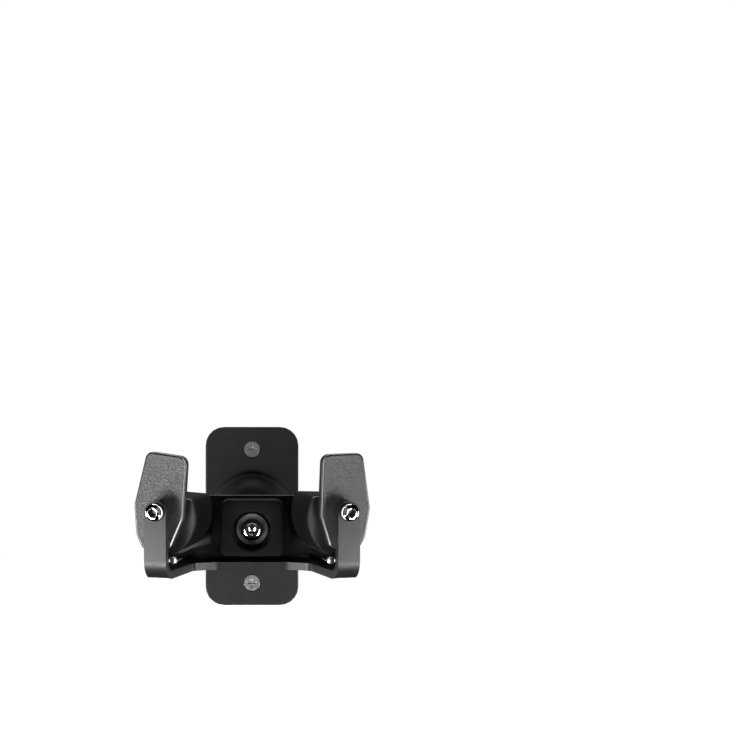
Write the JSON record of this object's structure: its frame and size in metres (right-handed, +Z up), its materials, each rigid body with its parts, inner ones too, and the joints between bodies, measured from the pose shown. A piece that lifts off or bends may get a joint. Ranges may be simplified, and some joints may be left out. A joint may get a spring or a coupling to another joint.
{
  "type": "wall guitar hanger",
  "caption": "Wall hanger for a guitar: a bent steel yoke on a short stem, with sprung, flat-topped rests and swinging gates that close in front of the neck.",
  "frame": {"origin": "centre of the wall plate's back face, which lies on the wall", "axes": "+Y into the wall, -Y out into the room, +Z up, +X to the right as seen from the room"},
  "size_m": [0.105, 0.1065, 0.096],
  "materials": {
    "black_paint": "satin powder coat",
    "gate_plastic": "pebble grain",
    "rest_plastic": "smooth satin",
    "cover_plastic": "fine grain",
    "black_rubber": "matt",
    "chrome": "bright",
    "zinc_steel": "zinc plated",
    "spring_steel": "drawn wire",
    "nylon": "black",
    "bronze": "sintered"
  },
  "bodies": {
    "base": {"wall_plate": "black_paint", "wall_screw_top": "zinc_steel", "wall_screw_bottom": "zinc_steel", "stem": "black_paint", "stem_screw_1": "zinc_steel", "stem_screw_2": "zinc_steel", "stem_screw_3": "zinc_steel", "base_cover": "cover_plastic", "swivel_bolt": "chrome", "swivel_washer": "zinc_steel", "swivel_friction_washer": "nylon", "swivel_stop_pin": "zinc_steel"},
    "yoke": {"yoke_frame": "black_paint", "neck_pad": "black_rubber", "left_axle_bolt": "chrome", "left_front_spacer": "nylon", "left_rear_spacer": "nylon", "left_rear_washer": "zinc_steel", "left_lock_nut": "zinc_steel", "left_stop_rod": "chrome", "right_axle_bolt": "chrome", "right_front_spacer": "nylon", "right_rear_spacer": "nylon", "right_rear_washer": "zinc_steel", "right_lock_nut": "zinc_steel", "right_stop_rod": "chrome"},
    "left_cam": {"left_gate": "gate_plastic", "left_rest_core": "rest_plastic", "left_rest_sleeve": "black_rubber", "left_front_bush": "bronze", "left_rear_bush": "bronze", "left_return_spring": "spring_steel"},
    "right_cam": {"right_gate": "gate_plastic", "right_rest_core": "rest_plastic", "right_rest_sleeve": "black_rubber", "right_front_bush": "bronze", "right_rear_bush": "bronze", "right_return_spring": "spring_steel"}
  },
  "joints": [
    {"name": "yoke_swivel", "type": "hinge", "parent": "base", "child": "yoke", "pos_m": [0, -0.057, 0], "axis": [0, 1, 0], "range_deg": [-15, 15]},
    {"name": "left_gate_swing", "type": "hinge", "parent": "yoke", "child": "left_cam", "pos_m": [-0.0423, -0.103, 0.012], "axis": [0.2419, 0.9703, 0], "range_deg": [-6, 56], "stiffness_Nm_per_rad": 0.03},
    {"name": "right_gate_swing", "type": "hinge", "parent": "yoke", "child": "right_cam", "pos_m": [0.0423, -0.103, 0.012], "axis": [0.2419, -0.9703, 0], "range_deg": [0, 62], "stiffness_Nm_per_rad": 0.03, "springref_deg": -5.73}
  ]
}
